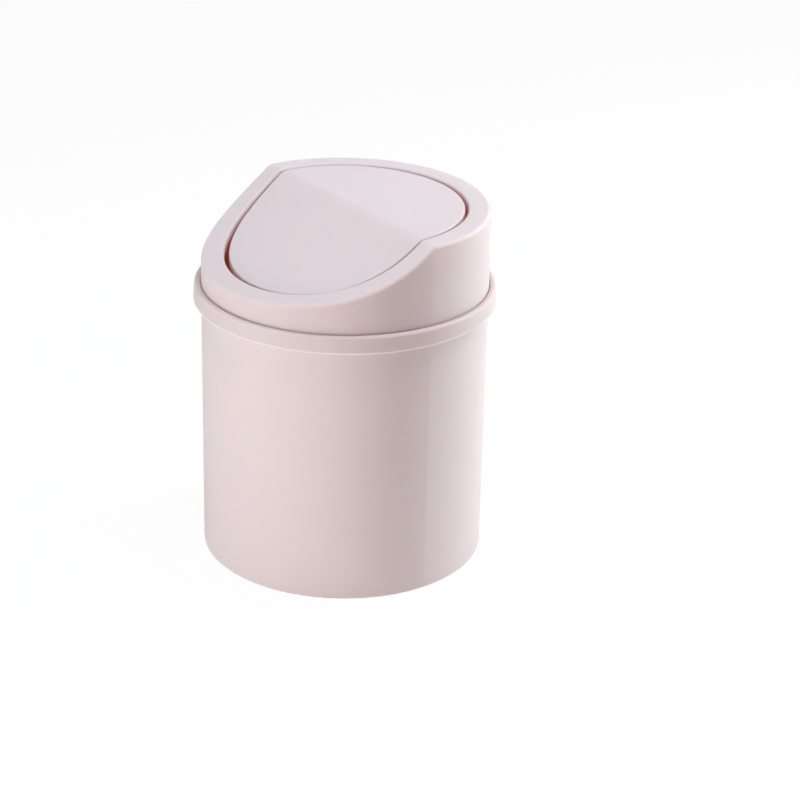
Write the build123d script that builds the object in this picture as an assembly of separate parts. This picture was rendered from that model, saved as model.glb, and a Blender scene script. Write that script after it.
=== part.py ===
"""Countertop swing-lid bin: a moulded bucket, a drop-in lid housing and a folded swing flap.

Millimetres, +Z up.  The origin is the centre of the foot ring, on the surface the bin stands on.
The lid's ridge lies along X.  The scooped front of the lid faces -Y and the flat rear faces +Y.
"""
from build123d import *
from math import cos, hypot, radians, sin, sqrt
import os

os.makedirs("parts", exist_ok=True)

# ---- bucket ----
wall = 1.8                 # moulded wall of the bucket and of the lid housing
foot_radius = 65.3         # outside of the bucket at the foot
bucket_taper = 0.1         # how much wider the bucket is under its collar
floor_thickness = 2.0
floor_rise = 1.4           # how far the floor's underside stands above the table
foot_width = 4.0           # the ring that the bucket stands on
foot_rounding = 1.0
floor_rounding = 3.0       # inside corner between floor and wall
gate_radius = 2.6          # boss left by the moulding gate, under the floor
gate_height = 0.7

# ---- collar at the bucket's mouth ----
collar_step = 3.6          # how far the collar's lower edge stands out from the bucket
collar_underside = 121.8
collar_height = 8.0
collar_wall = 2.95         # at its top; thicker than the rest, to stiffen the mouth
collar_draft = 0.5         # how much narrower the collar is at its top
collar_top_rounding = 1.2
mouth_rounding = 0.9       # the inner edge of the mouth
collar_lip_rounding = 0.5  # the collar's lower edge

# ---- lid housing ----
lid_fit = 0.15             # radial gap between the housing's straight foot and the collar
lid_taper = 0.4            # how much narrower the housing is at the height of the ridge
lid_height = 36.2          # ridge above the collar's top
lid_edge_rounding = 1.6
lid_foot_chamfer = 0.5     # leads the housing into the collar

# ---- roof: flat rear, arched front ----
ridge_y = 1.3
ridge_slope = 37.4         # degrees, the front's slope at the ridge
scoop_radius = 133.2       # the front is hollow: an arc that flattens towards its tip
roof_fold_radius = 4.5     # the rounded fold where the ridge crosses the housing's roof

# ---- opening in the roof ----
roof_margin = 10.1         # ring of roof left around the opening
lip_thickness = 1.6        # turned-down rim around the opening
lip_depth = 4.8            # from the roof's top surface
opening_rounding = 1.2

# ---- swing flap ----
flap_thickness = 2.0
flap_recess = 0.25         # how far the flap lies under the roof's surface at the rear
flap_lean = 1.6            # degrees, how much steeper the flap's front is than the roof's
flap_fold_radius = 8.0     # the flap's fold is softer than the roof's
flap_side_gap = 1.2
flap_front_gap = 2.6
flap_rear_gap = 1.8
flap_rounding = 0.8
flap_rim_width = 1.6       # stiffening rim under the flap's edge
flap_rim_depth = 1.0

# ---- pivot ----
pivot_y = -0.6325          # above the flap's centre of mass, so that it hangs closed
pivot_depth = 6.6          # axis below the ridge
pin_radius = 1.6
pin_clearance = 0.05       # radial, pin in its boss
pin_engagement = 3.0       # how much of the pin lies in the boss
boss_length = 3.6
boss_radius = 4.2
ear_thickness = 2.6
ear_radius = 3.6

# ---- places worked out from the sizes above ----
mouth_radius = foot_radius + bucket_taper
collar_radius = mouth_radius + collar_step
collar_top_radius = collar_radius - collar_draft
collar_top = collar_underside + collar_height
seat_z = collar_underside + wall
socket_radius = collar_top_radius - collar_wall
lid_foot_radius = socket_radius - lid_fit
lid_top_radius = lid_foot_radius - lid_taper
opening_radius = lid_top_radius - roof_margin
ridge_z = collar_top + lid_height
pivot_z = ridge_z - pivot_depth
floor_top = floor_rise + floor_thickness
above_roof = ridge_z + wall
lid_draft = lid_taper / lid_height
reach = 2 * collar_radius  # longer than any piece, for cutting shapes


def round_corner(sketch, radius, across, up):
    """Round the corner of a sketch nearest to a point given in the sketch's own plane."""
    corner = sketch.vertices().sort_by_distance((across, up))[0]
    fillet(corner, radius)


def roof_below(depth, fold, lean=0):
    """Everything under the roof's surface lowered by depth, as a prism along X."""
    slope = radians(ridge_slope + lean)
    centre_y = ridge_y - scoop_radius * sin(slope)
    centre_z = ridge_z + scoop_radius * cos(slope)
    radius = scoop_radius + depth
    flat_z = ridge_z - depth
    crest_y = centre_y + sqrt(radius**2 - (centre_z - flat_z) ** 2)
    front_y = -collar_radius - wall
    front_z = centre_z - sqrt(radius**2 - (front_y - centre_y) ** 2)
    middle_y = (crest_y + front_y) / 2
    middle_z = centre_z - sqrt(radius**2 - (middle_y - centre_y) ** 2)
    with BuildSketch(Plane.YZ) as section:
        with BuildLine():
            ThreePointArc((front_y, front_z), (middle_y, middle_z), (crest_y, flat_z))
            Polyline((crest_y, flat_z), (reach, flat_z), (reach, -reach))
            Polyline((reach, -reach), (front_y, -reach), (front_y, front_z))
        make_face()
        round_corner(section, fold, crest_y, flat_z)
    return extrude(section.sketch, amount=reach, both=True)


def rims_of(solid, inner, outer):
    """The curved edges above the seat whose middles lie between two distances from the bin's axis."""
    rims = []
    for edge in solid.edges():
        middle = edge @ 0.5
        is_above_seat = middle.Z > seat_z + wall
        if is_above_seat and edge.geom_type != GeomType.LINE and inner < hypot(middle.X, middle.Y) < outer:
            rims.append(edge)
    return rims


def lid_blank(inset):
    """The lid housing's outside, drawn in by inset: a straight foot, then a taper past the roof."""
    foot = lid_foot_radius - inset
    head = foot - lid_draft * (above_roof - collar_top)
    with BuildPart() as blank:
        with BuildSketch(Plane.XZ):
            with BuildLine():
                Polyline(
                    (0, seat_z),
                    (foot, seat_z),
                    (foot, collar_top),
                    (head, above_roof),
                    (0, above_roof),
                    close=True,
                )
            make_face()
        revolve(axis=Axis.Z)
    return blank.part


def upright(radius, bottom_z, top_z):
    """A plain upright cylinder between two heights."""
    height = top_z - bottom_z
    return Pos(0, 0, bottom_z) * Cylinder(radius, height, align=(Align.CENTER, Align.CENTER, Align.MIN))


def round_along_x(radius, start_x, end_x):
    """A round bar on the pivot's axis between two places along X."""
    bar = Cylinder(radius, end_x - start_x, align=(Align.CENTER, Align.CENTER, Align.MIN))
    return Pos(start_x, pivot_y, pivot_z) * Rot(0, 90, 0) * bar


def hanging_tab(radius, start_x, end_x):
    """A bar on the pivot's axis with flat sides that run straight up past the roof."""
    width = 2 * radius
    height = pivot_depth + wall
    upper = Pos((start_x + end_x) / 2, pivot_y, pivot_z + height / 2) * Box(end_x - start_x, width, height)
    return round_along_x(radius, start_x, end_x) + upper


def between_ears(half_width):
    """The space between the flap's two ears."""
    return Pos(0, pivot_y, pivot_z) * Box(2 * half_width, reach, reach)


def make_bin_body():
    """The bucket: foot ring, raised floor, straight wall and a stepped-out collar."""
    with BuildPart() as bucket:
        with BuildSketch(Plane.XZ) as half_section:
            with BuildLine():
                Polyline(
                    (0, floor_rise),
                    (foot_radius - foot_width, floor_rise),
                    (foot_radius - foot_width, 0),
                    (foot_radius, 0),
                    (mouth_radius, collar_underside),
                    (collar_radius, collar_underside),
                    (collar_top_radius, collar_top),
                    (socket_radius, collar_top),
                    (socket_radius, seat_z),
                    (mouth_radius - wall, seat_z),
                    (foot_radius - wall, floor_top),
                    (0, floor_top),
                    close=True,
                )
            make_face()
            round_corner(half_section, foot_rounding, foot_radius, 0)
            round_corner(half_section, floor_rounding, foot_radius - wall, floor_top)
            round_corner(half_section, collar_lip_rounding, collar_radius, collar_underside)
            round_corner(half_section, collar_top_rounding, collar_top_radius, collar_top)
            round_corner(half_section, mouth_rounding, socket_radius, collar_top)
        revolve(axis=Axis.Z)
        add(upright(gate_radius, floor_rise - gate_height, floor_rise))
    return bucket.part


def make_lid_housing():
    """The tapered shell with its open roof, turned-down lip and two pivot bosses."""
    outside = lid_blank(0) & roof_below(0, roof_fold_radius)
    outside -= upright(opening_radius, seat_z, above_roof)
    ring_middle = (opening_radius + lid_top_radius) / 2
    outside = fillet(rims_of(outside, 0, ring_middle), opening_rounding)
    outside = fillet(rims_of(outside, ring_middle, reach), lid_edge_rounding)
    outside = chamfer(outside.edges().group_by(Axis.Z)[0].sort_by(SortBy.LENGTH)[-1], lid_foot_chamfer)

    boss_end = opening_radius + boss_length
    under_lip = roof_below(lip_depth, roof_fold_radius - wall)
    lip = upright(opening_radius + lip_thickness, seat_z, above_roof) - under_lip
    hollow = lid_blank(wall) & roof_below(wall, roof_fold_radius - wall)
    hollow -= lip
    hollow -= hanging_tab(boss_radius, -boss_end, boss_end)
    return outside - hollow - round_along_x(pin_radius + pin_clearance, -boss_end, boss_end)


def flap_prism(inset):
    """The flap's outline seen from above, drawn in by inset, as an upright prism."""
    across = opening_radius - flap_side_gap - inset
    front = opening_radius - flap_front_gap - inset
    rear = opening_radius - flap_rear_gap - inset
    with BuildSketch() as outline:
        with BuildLine():
            EllipticalCenterArc((0, 0), across, rear, start_angle=0, arc_size=180)
            EllipticalCenterArc((0, 0), across, front, start_angle=180, arc_size=180)
        make_face()
    return Pos(0, 0, seat_z) * extrude(outline.sketch, amount=above_roof - seat_z)


def make_swing_flap():
    """The folded plate with its stiffening rim, two ears and the two pivot pins moulded on them."""
    inner_fold = flap_fold_radius - flap_thickness
    underside = flap_recess + flap_thickness
    block = flap_prism(0) & roof_below(flap_recess, flap_fold_radius, flap_lean)
    block = fillet(rims_of(block, 0, reach), flap_rounding)

    ear_end = opening_radius - flap_side_gap
    ears = hanging_tab(ear_radius, -ear_end, ear_end) - between_ears(ear_end - ear_thickness)
    under_rim = roof_below(underside + flap_rim_depth, inner_fold, flap_lean)
    pocket = flap_prism(flap_rim_width) & roof_below(underside, inner_fold, flap_lean)
    plate = block - (under_rim - ears) - (pocket - ears)

    pin_end = opening_radius + pin_engagement
    pins = round_along_x(pin_radius, -pin_end, pin_end) - between_ears(ear_end - ear_thickness / 2)
    return plate + pins


export_step(make_bin_body(), "parts/bin_body.step")
export_step(make_lid_housing(), "parts/lid_housing.step")
export_step(make_swing_flap(), "parts/swing_flap.step")
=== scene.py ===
"""Looks for a small blush-pink countertop bin with a swing lid.

Metres, +Z up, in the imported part's own frame.  The bin stands on z = 0, its lid's ridge lies along X,
and the scooped front of the lid faces -Y.
"""
import bpy
from math import cos, radians, sin
from mathutils import Matrix, Vector


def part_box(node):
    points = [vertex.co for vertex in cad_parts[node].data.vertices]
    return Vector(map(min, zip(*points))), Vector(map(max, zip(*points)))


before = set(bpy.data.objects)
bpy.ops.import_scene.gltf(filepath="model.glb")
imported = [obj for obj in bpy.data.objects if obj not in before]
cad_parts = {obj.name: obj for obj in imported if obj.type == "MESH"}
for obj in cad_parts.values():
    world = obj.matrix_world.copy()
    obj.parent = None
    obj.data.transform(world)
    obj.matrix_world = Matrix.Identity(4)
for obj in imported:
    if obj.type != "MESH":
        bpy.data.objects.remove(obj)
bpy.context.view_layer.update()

# ---- camera ----
image_px = 800
camera_azimuth = 54.76             # degrees from the front, towards +X
camera_elevation = 23.78
camera_roll = -1.36
camera_distance = 1.129            # to the middle of the bin
middle = Vector((0, 0, 0.085))
middle_px = (344.5, 368.5)         # where the middle of the bin lands in the picture
px_per_metre = 2164.0              # at the middle of the bin
sensor_width = 36.0                # millimetres, as Blender keeps it

# ---- stage ----
floor_size = 12.0
floor_drop = 0.0002                # keeps the floor just clear of the foot ring
floor_colour = (0.88, 0.88, 0.88)
backdrop_colour = (1.0, 1.0, 1.0)
backdrop_glow = 0.95               # what the camera sees of the floor where nothing lights it
world_colour = (1.0, 1.0, 1.0)
world_strength = 0.02

# ---- lamps, all aimed at the middle of the bin ----
lamp_white = (1.0, 1.0, 1.0)
lamp_cool = (0.83, 0.92, 1.0)
lamp_warm = (1.0, 0.80, 0.73)
# name, degrees from the camera's azimuth, elevation, distance, width, height, watts, colour
lamps = (
    ("left_box", -62, 4, 1.0, 0.35, 0.45, 5.0, lamp_white),
    ("left_high", -60, 28, 1.0, 0.35, 0.45, 1.85, lamp_white),
    ("front_low", -12, -1, 0.5, 0.2, 0.12, 0.66, lamp_warm),
    ("top_box", 0, 89.9, 0.6, 0.5, 0.5, 2.65, lamp_cool),
    ("right_strip", 112, 4, 1.2, 0.35, 0.8, 17.2, lamp_white),
    ("right_high", 100, 50, 1.0, 0.35, 0.45, 4.7, lamp_white),
)

# ---- moulded plastic ----
body_blush = (0.728, 0.708, 0.723)
# painted shade: the body's plastic made a little darker, standing in for the lid getting less light than
# the body
lid_blush_painted_shade = (0.703, 0.677, 0.694)
deepening = 0.97                   # how far the mottling darkens the colour
plastic_roughness = (0.50, 0.60)
glow_depth = 0.0018                # how far light travels inside the plastic
glow_radius = (1.0, 0.75, 0.65)
glow_weight = 0.8
leak_share = 0.22                  # of the light on the thin walls, how much passes through
leak_colour = (1.0, 0.45, 0.30)    # what passes is warm, so the inside glows red-brown in the gaps
mottle_scale = 14.0                # per metre
mottle_detail = 3
grain_scale = 1400.0               # per metre
grain_detail = 2
grain_strength = 0.25
grain_depth = 0.00002
noise_low = 0.3                    # noise values mostly lie between these two
noise_high = 0.7

# ---- the bucket's collar ----
collar_height = 0.0080
wall_tone = 1.0
collar_painted_shade = 0.93                 # painted shade: the collar a little darker than the wall, standing in for less light glowing through its thick plastic
highlight_height = 0.0008               # height of the painted highlight along the collar's lower edge
edge_painted_highlight = 1.10                   # painted highlight: that edge a little paler, where its rounding catches light
tone_fade = 0.0002                 # the height over which one tone turns into the next


def direction(azimuth, elevation):
    """Unit vector from the bin towards a place at this azimuth and elevation, in degrees."""
    turn = radians(azimuth)
    rise = radians(elevation)
    return Vector((sin(turn) * cos(rise), -cos(turn) * cos(rise), sin(rise)))


def looking_back(towards):
    """A camera's rotation when it looks along -towards, with the picture's roll."""
    return towards.to_track_quat("Z", "Y").to_matrix() @ Matrix.Rotation(radians(-camera_roll), 3, "Z")


def make_camera():
    """The camera looks a little past the bin, so that the bin lands left of the picture's centre."""
    back = direction(camera_azimuth, camera_elevation)
    place = middle + back * camera_distance
    off_right = (image_px / 2 - middle_px[0]) / px_per_metre
    off_up = (middle_px[1] - image_px / 2) / px_per_metre
    aim = middle + looking_back(back) @ Vector((off_right, off_up, 0))
    data = bpy.data.cameras.new("camera")
    data.sensor_width = sensor_width
    data.lens = px_per_metre * camera_distance / image_px * sensor_width
    data.clip_end = 2 * floor_size
    camera = bpy.data.objects.new("camera", data)
    camera.matrix_world = Matrix.Translation(place) @ looking_back(place - aim).to_4x4()
    bpy.context.collection.objects.link(camera)
    bpy.context.scene.camera = camera


def make_lamp(name, azimuth, elevation, distance, width, height, power, colour):
    """A soft box that faces the middle of the bin.  Its azimuth is counted from the camera's."""
    data = bpy.data.lights.new(name, "AREA")
    data.shape = "RECTANGLE"
    data.size = width
    data.size_y = height
    data.energy = power
    data.color = colour
    towards = direction(camera_azimuth + azimuth, elevation)
    lamp = bpy.data.objects.new(name, data)
    lamp.location = middle + towards * distance
    lamp.rotation_mode = "QUATERNION"
    lamp.rotation_quaternion = towards.to_track_quat("Z", "Y")
    bpy.context.collection.objects.link(lamp)


def larger(nodes, links, first, second):
    """The larger of two values."""
    pick = nodes.new("ShaderNodeMath")
    pick.operation = "MAXIMUM"
    links.new(first, pick.inputs[0])
    links.new(second, pick.inputs[1])
    return pick.outputs[0]


def sees_backdrop(nodes, links):
    """1 for a ray that should see the plain backdrop: from the camera, mirrored or refracted."""
    path = nodes.new("ShaderNodeLightPath").outputs
    direct = larger(nodes, links, path["Is Camera Ray"], path["Is Glossy Ray"])
    return larger(nodes, links, direct, path["Is Transmission Ray"])


def blend(nodes, links, share, first, second):
    """The first shader where the share is 0, and the second where it is 1."""
    mix = nodes.new("ShaderNodeMixShader")
    links.new(share, mix.inputs[0])
    links.new(first, mix.inputs[1])
    links.new(second, mix.inputs[2])
    return mix.outputs[0]


def make_floor():
    """A pale floor that keeps the bin's shadow."""
    half = floor_size / 2
    corners = [
        (-half, -half, -floor_drop),
        (half, -half, -floor_drop),
        (half, half, -floor_drop),
        (-half, half, -floor_drop),
    ]
    mesh = bpy.data.meshes.new("floor")
    mesh.from_pydata(corners, [], [range(len(corners))])
    floor = bpy.data.objects.new("floor", mesh)
    bpy.context.collection.objects.link(floor)
    material = bpy.data.materials.new("floor_white")
    material.use_nodes = True
    nodes, links = material.node_tree.nodes, material.node_tree.links
    nodes.clear()
    lit = nodes.new("ShaderNodeBsdfDiffuse")
    lit.inputs["Color"].default_value = (*floor_colour, 1)
    shade = nodes.new("ShaderNodeBsdfDiffuse")
    shade.inputs["Color"].default_value = (*[part - backdrop_glow for part in backdrop_colour], 1)
    glow = nodes.new("ShaderNodeEmission")
    glow.inputs["Color"].default_value = (*backdrop_colour, 1)
    glow.inputs["Strength"].default_value = backdrop_glow
    seen = nodes.new("ShaderNodeAddShader")
    links.new(shade.outputs[0], seen.inputs[0])
    links.new(glow.outputs[0], seen.inputs[1])
    out = nodes.new("ShaderNodeOutputMaterial")
    surface = blend(nodes, links, sees_backdrop(nodes, links), lit.outputs[0], seen.outputs[0])
    links.new(surface, out.inputs["Surface"])
    mesh.materials.append(material)


def make_world():
    """A dim room, which the camera sees as the same plain backdrop as the floor."""
    world = bpy.data.worlds.new("studio")
    world.use_nodes = True
    nodes, links = world.node_tree.nodes, world.node_tree.links
    nodes.clear()
    room = nodes.new("ShaderNodeBackground")
    room.inputs["Color"].default_value = (*world_colour, 1)
    room.inputs["Strength"].default_value = world_strength
    white = nodes.new("ShaderNodeBackground")
    white.inputs["Color"].default_value = (*backdrop_colour, 1)
    white.inputs["Strength"].default_value = backdrop_glow
    out = nodes.new("ShaderNodeOutputWorld")
    surface = blend(nodes, links, sees_backdrop(nodes, links), room.outputs[0], white.outputs[0])
    links.new(surface, out.inputs["Surface"])
    bpy.context.scene.world = world


def noise(nodes, links, coordinates, scale, detail):
    """Noise in the piece's own space."""
    texture = nodes.new("ShaderNodeTexNoise")
    texture.inputs["Scale"].default_value = scale
    texture.inputs["Detail"].default_value = detail
    links.new(coordinates, texture.inputs["Vector"])
    return texture.outputs["Fac"]


def ramp(nodes, links, value, start, end, low, high):
    """The value turned into low up to start, into high from end on, and in proportion between them."""
    scaled = nodes.new("ShaderNodeMapRange")
    scaled.inputs["From Min"].default_value = start
    scaled.inputs["From Max"].default_value = end
    scaled.inputs["To Min"].default_value = low
    scaled.inputs["To Max"].default_value = high
    links.new(value, scaled.inputs["Value"])
    return scaled.outputs["Result"]


def spread(nodes, links, value, low, high):
    """Noise brought to a range of values."""
    return ramp(nodes, links, value, noise_low, noise_high, low, high)


def collar_painted_light(nodes, links, place):
    """What multiplies the colour at each height: the wall's tone, then the painted highlight on the
    collar's lower edge, then the painted shade on the collar.
    """
    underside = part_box("bin_body")[1][2] - collar_height
    above_highlight = underside + highlight_height
    split = nodes.new("ShaderNodeSeparateXYZ")
    links.new(place, split.inputs["Vector"])
    height = split.outputs["Z"]
    to_highlight = ramp(nodes, links, height, underside, underside + tone_fade, wall_tone, edge_painted_highlight)
    change = collar_painted_shade - edge_painted_highlight
    from_highlight = ramp(nodes, links, height, above_highlight, above_highlight + tone_fade, 0, change)
    total = nodes.new("ShaderNodeMath")
    links.new(to_highlight, total.inputs[0])
    links.new(from_highlight, total.inputs[1])
    return total.outputs["Value"]


def make_plastic(name, blush, has_collar):
    """Satin moulded plastic: faintly mottled, finely grained, and thin enough to let some light in."""
    material = bpy.data.materials.new(name)
    material.use_nodes = True
    nodes, links = material.node_tree.nodes, material.node_tree.links
    shader = nodes["Principled BSDF"]
    place = nodes.new("ShaderNodeTexCoord").outputs["Object"]
    mottle = noise(nodes, links, place, mottle_scale, mottle_detail)
    tint = nodes.new("ShaderNodeMix")
    tint.data_type = "RGBA"
    tint.inputs["A"].default_value = (*blush, 1)
    tint.inputs["B"].default_value = (*[deepening * part for part in blush], 1)
    links.new(spread(nodes, links, mottle, 0, 1), tint.inputs["Factor"])
    toned = nodes.new("ShaderNodeVectorMath")
    toned.operation = "SCALE"
    links.new(tint.outputs["Result"], toned.inputs["Vector"])
    # the body's collar gets painted shade, and its lower edge a painted highlight
    if has_collar:
        links.new(collar_painted_light(nodes, links, place), toned.inputs["Scale"])
    links.new(toned.outputs["Vector"], shader.inputs["Base Color"])
    links.new(spread(nodes, links, mottle, *plastic_roughness), shader.inputs["Roughness"])
    grain = noise(nodes, links, place, grain_scale, grain_detail)
    bump = nodes.new("ShaderNodeBump")
    bump.inputs["Strength"].default_value = grain_strength
    bump.inputs["Distance"].default_value = grain_depth
    links.new(grain, bump.inputs["Height"])
    links.new(bump.outputs["Normal"], shader.inputs["Normal"])
    shader.inputs["Subsurface Weight"].default_value = glow_weight
    shader.inputs["Subsurface Radius"].default_value = glow_radius
    shader.inputs["Subsurface Scale"].default_value = glow_depth
    leak = nodes.new("ShaderNodeBsdfTranslucent")
    leak.inputs["Color"].default_value = (*leak_colour, 1)
    links.new(bump.outputs["Normal"], leak.inputs["Normal"])
    both = nodes.new("ShaderNodeMixShader")
    both.inputs["Fac"].default_value = leak_share
    links.new(shader.outputs["BSDF"], both.inputs[1])
    links.new(leak.outputs["BSDF"], both.inputs[2])
    links.new(both.outputs["Shader"], nodes["Material Output"].inputs["Surface"])
    return material


body_plastic = make_plastic("body_plastic", body_blush, has_collar=True)
lid_plastic = make_plastic("lid_plastic", lid_blush_painted_shade, has_collar=False)
for name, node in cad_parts.items():
    node.data.materials.clear()
    node.data.materials.append(body_plastic if name == "bin_body" else lid_plastic)

make_floor()
make_world()
for lamp in lamps:
    make_lamp(*lamp)
make_camera()
bpy.context.scene.view_settings.view_transform = "Standard"
